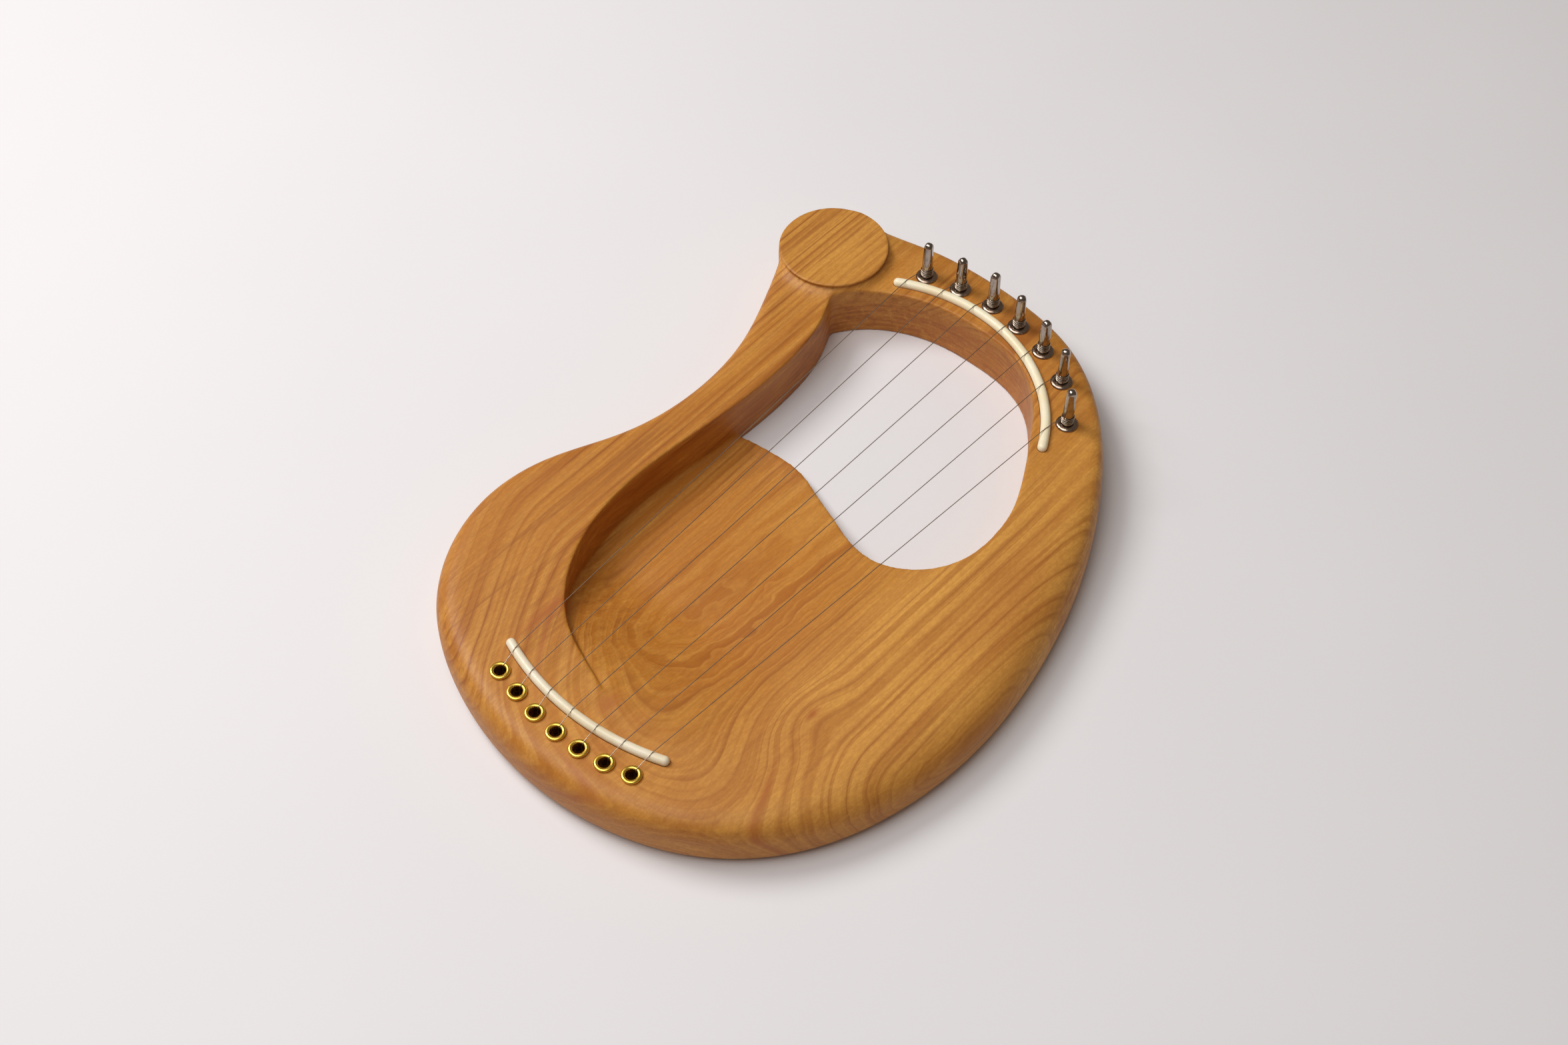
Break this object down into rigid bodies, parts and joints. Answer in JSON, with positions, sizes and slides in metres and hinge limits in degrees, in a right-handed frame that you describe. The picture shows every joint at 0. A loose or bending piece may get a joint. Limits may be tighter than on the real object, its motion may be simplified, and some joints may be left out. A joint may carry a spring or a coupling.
{
  "type": "lyre",
  "caption": "Small plucked lyre carved from one block of wood, with a round head, a hollowed soundboard, fanned steel strings over two pale rods and turning tuning pins.",
  "frame": {"origin": "bottom centre of the instrument lying on its back", "axes": "+Z out of the face, +Y along the strings towards the tuning pins, +X towards the short strings"},
  "size_m": [0.24, 0.3267, 0.0485],
  "materials": {
    "wood": "oiled, satin",
    "ivory_rod": "smooth",
    "nickel": "polished nickel plate",
    "steel_string": "drawn wire",
    "brass": "polished"
  },
  "bodies": {
    "root": {"body": "wood", "bridge_rod": "ivory_rod", "nut_rod": "ivory_rod", "pin_ferrule_1": "nickel", "pin_ferrule_2": "nickel", "pin_ferrule_3": "nickel", "pin_ferrule_4": "nickel", "pin_ferrule_5": "nickel", "pin_ferrule_6": "nickel", "pin_ferrule_7": "nickel", "eyelet_1": "brass", "eyelet_2": "brass", "eyelet_3": "brass", "eyelet_4": "brass", "eyelet_5": "brass", "eyelet_6": "brass", "eyelet_7": "brass", "ball_end_1": "brass", "ball_end_2": "brass", "ball_end_3": "brass", "ball_end_4": "brass", "ball_end_5": "brass", "ball_end_6": "brass", "ball_end_7": "brass", "string_1": "steel_string", "string_2": "steel_string", "string_3": "steel_string", "string_4": "steel_string", "string_5": "steel_string", "string_6": "steel_string", "string_7": "steel_string"},
    "pin_1": {"tuning_pin_1": "nickel", "string_winding_1": "steel_string"},
    "pin_2": {"tuning_pin_2": "nickel", "string_winding_2": "steel_string"},
    "pin_3": {"tuning_pin_3": "nickel", "string_winding_3": "steel_string"},
    "pin_4": {"tuning_pin_4": "nickel", "string_winding_4": "steel_string"},
    "pin_5": {"tuning_pin_5": "nickel", "string_winding_5": "steel_string"},
    "pin_6": {"tuning_pin_6": "nickel", "string_winding_6": "steel_string"},
    "pin_7": {"tuning_pin_7": "nickel", "string_winding_7": "steel_string"}
  },
  "joints": [
    {"name": "tune_1", "type": "hinge", "parent": "root", "child": "pin_1", "pos_m": [-0.0517, 0.1427, 0.026], "axis": [0, 0, 1], "range_deg": [-90, 270]},
    {"name": "tune_2", "type": "hinge", "parent": "root", "child": "pin_2", "pos_m": [-0.0347, 0.1467, 0.026], "axis": [0, 0, 1], "range_deg": [-90, 270]},
    {"name": "tune_3", "type": "hinge", "parent": "root", "child": "pin_3", "pos_m": [-0.0169, 0.1482, 0.026], "axis": [0, 0, 1], "range_deg": [-90, 270]},
    {"name": "tune_4", "type": "hinge", "parent": "root", "child": "pin_4", "pos_m": [-0.0001, 0.1459, 0.026], "axis": [0, 0, 1], "range_deg": [-90, 270]},
    {"name": "tune_5", "type": "hinge", "parent": "root", "child": "pin_5", "pos_m": [0.0175, 0.1413, 0.026], "axis": [0, 0, 1], "range_deg": [-90, 270]},
    {"name": "tune_6", "type": "hinge", "parent": "root", "child": "pin_6", "pos_m": [0.0349, 0.1322, 0.026], "axis": [0, 0, 1], "range_deg": [-90, 270]},
    {"name": "tune_7", "type": "hinge", "parent": "root", "child": "pin_7", "pos_m": [0.0516, 0.114, 0.026], "axis": [0, 0, 1], "range_deg": [-90, 270]}
  ]
}
